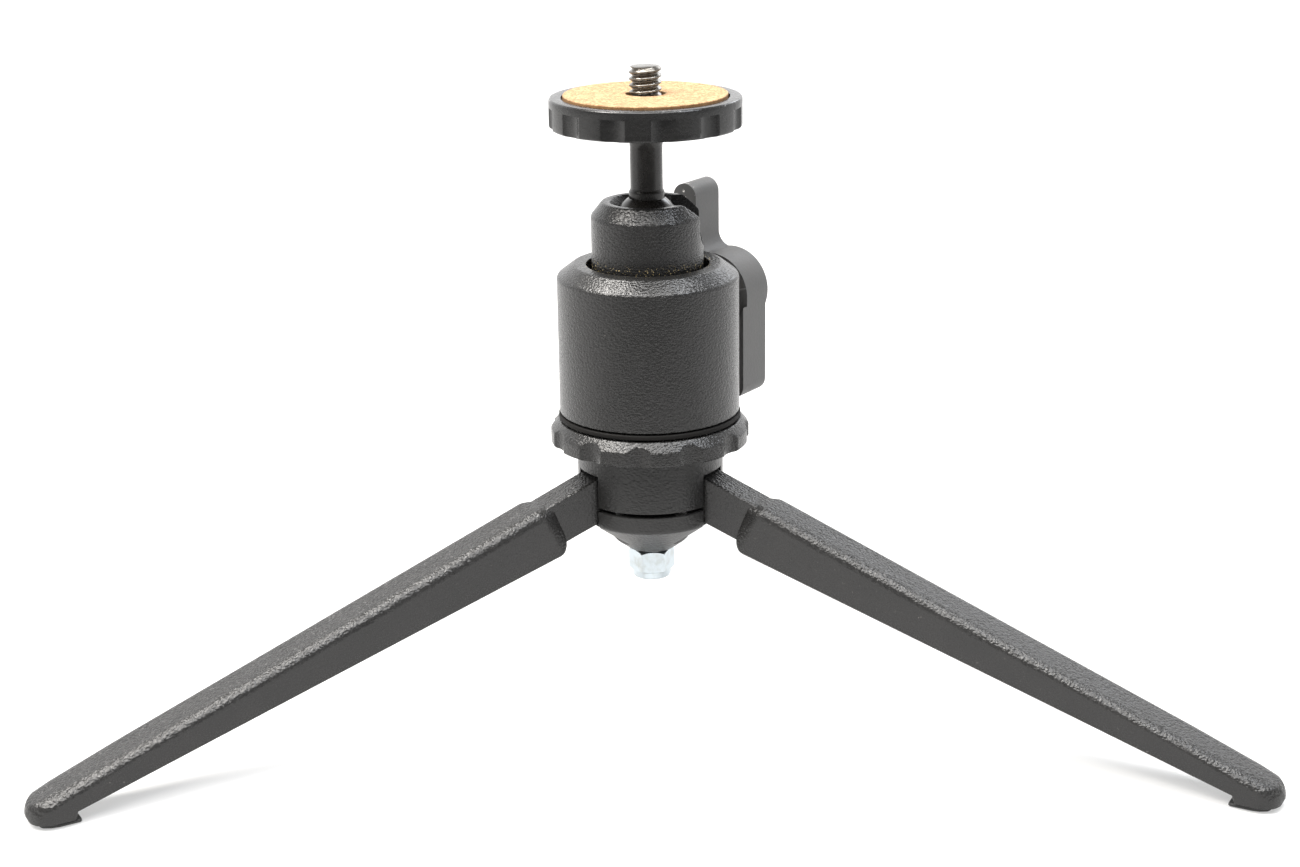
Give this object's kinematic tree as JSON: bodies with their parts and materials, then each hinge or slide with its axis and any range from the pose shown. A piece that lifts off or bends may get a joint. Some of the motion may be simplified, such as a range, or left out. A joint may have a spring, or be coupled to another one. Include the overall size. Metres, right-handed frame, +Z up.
{
  "type": "tabletop tripod",
  "caption": "Compact folding tabletop tripod with a ball head, a cork-faced camera platform and screw, a side lock lever and rubber-footed legs.",
  "frame": {"origin": "centre of the footprint's box, on the floor under the foot pads", "axes": "+X to the side, along the spread of the two front legs; +Y to the back, the way the single back leg points; +Z up, along the centre stud"},
  "size_m": [0.2282, 0.1984, 0.1244],
  "materials": {
    "screw_steel": "bright turned steel with a cut thread",
    "cork": "pressed cork, matt and granular",
    "platform_black": "satin black, rim edge worn lighter",
    "stem_gloss_black": "gloss black",
    "collar_black": "black fine crackle paint, sparkling chamfer",
    "cup_nylon": "natural nylon",
    "thrust_steel": "turned steel",
    "body_black": "black fine crackle paint, sparkling chamfer",
    "plug_aluminium": "turned aluminium",
    "shaft_steel": "turned steel",
    "washer_nylon": "black nylon",
    "lever_black": "satin black with small chips",
    "lever_screw_steel": "blackened steel",
    "pad_rubber": "matt black rubber",
    "ring_black": "black fine crackle paint, sparkling chamfer",
    "stud_steel": "zinc-plated steel",
    "hub_black": "satin black",
    "cap_black": "satin black",
    "nut_zinc": "bright zinc plating",
    "insert_nylon": "pale nylon",
    "leg_black_left": "black pebbled paint above, smooth flanks",
    "pin_steel_left": "ground steel",
    "foot_rubber_left": "matt black rubber",
    "leg_black_right": "black pebbled paint above, smooth flanks",
    "pin_steel_right": "ground steel",
    "foot_rubber_right": "matt black rubber",
    "leg_black_back": "black pebbled paint above, smooth flanks",
    "pin_steel_back": "ground steel",
    "foot_rubber_back": "matt black rubber"
  },
  "bodies": {
    "base": {"hub": "hub_black", "bottom_cap": "cap_black", "lock_nut": "nut_zinc", "nylon_insert": "insert_nylon", "centre_stud": "stud_steel", "pivot_pin_left": "pin_steel_left", "pivot_pin_right": "pin_steel_right", "pivot_pin_back": "pin_steel_back"},
    "ring": {"lock_ring": "ring_black", "rubber_pad": "pad_rubber"},
    "head": {"head_body": "body_black", "base_plug": "plug_aluminium", "lever_washer": "washer_nylon"},
    "lever": {"lock_lever": "lever_black", "lever_shaft": "shaft_steel", "lever_screw": "lever_screw_steel"},
    "thrust": {"thrust_block": "thrust_steel", "ball_cup": "cup_nylon"},
    "collar": {"ball_collar": "collar_black"},
    "ball": {"ball_stem": "stem_gloss_black"},
    "platform": {"camera_platform": "platform_black", "cork_pad": "cork", "camera_screw": "screw_steel"},
    "leg_left": {"leg_left": "leg_black_left", "foot_pad_left": "foot_rubber_left"},
    "leg_right": {"leg_right": "leg_black_right", "foot_pad_right": "foot_rubber_right"},
    "leg_back": {"leg_back": "leg_black_back", "foot_pad_back": "foot_rubber_back"}
  },
  "joints": [
    {"name": "leg_left_fold", "type": "hinge", "parent": "base", "child": "leg_left", "pos_m": [-0.00918, -0.03644, 0.0387], "axis": [0.5, -0.866, 0], "range_deg": [0, 70]},
    {"name": "leg_right_fold", "type": "hinge", "parent": "base", "child": "leg_right", "pos_m": [0.00918, -0.03644, 0.0387], "axis": [0.5, 0.866, 0], "range_deg": [0, 70]},
    {"name": "leg_back_fold", "type": "hinge", "parent": "base", "child": "leg_back", "pos_m": [0, -0.02054, 0.0387], "axis": [-1, 0, 0], "range_deg": [0, 70]},
    {"name": "lock_ring_turn", "type": "hinge", "parent": "base", "child": "ring", "pos_m": [0, -0.03114, 0.0527], "axis": [0, 0, 1], "continuous": true},
    {"name": "head_turn", "type": "hinge", "parent": "base", "child": "head", "pos_m": [0, -0.03114, 0.06], "axis": [0, 0, 1], "continuous": true},
    {"name": "lever_turn", "type": "hinge", "parent": "head", "child": "lever", "pos_m": [0, -0.03114, 0.075], "axis": [0.5592, 0.829, 0], "range_deg": [0, 90]},
    {"name": "thrust_lift", "type": "slide", "parent": "head", "child": "thrust", "axis": [0, 0, 1], "range_m": [-0.00042, 0]},
    {"name": "collar_pan", "type": "hinge", "parent": "head", "child": "collar", "pos_m": [0, -0.03114, 0.0805], "axis": [0, 0, 1], "continuous": true},
    {"name": "ball_tilt", "type": "hinge", "parent": "collar", "child": "ball", "pos_m": [0, -0.03114, 0.0935], "axis": [0, 1, 0], "range_deg": [-30, 90]},
    {"name": "platform_turn", "type": "hinge", "parent": "ball", "child": "platform", "pos_m": [0, -0.03114, 0.0935], "axis": [0, 0, 1], "continuous": true}
  ],
  "couplings": [
    {"joint": "thrust_lift", "follows": "lever_turn", "m_per_rad": -0.00025465}
  ]
}
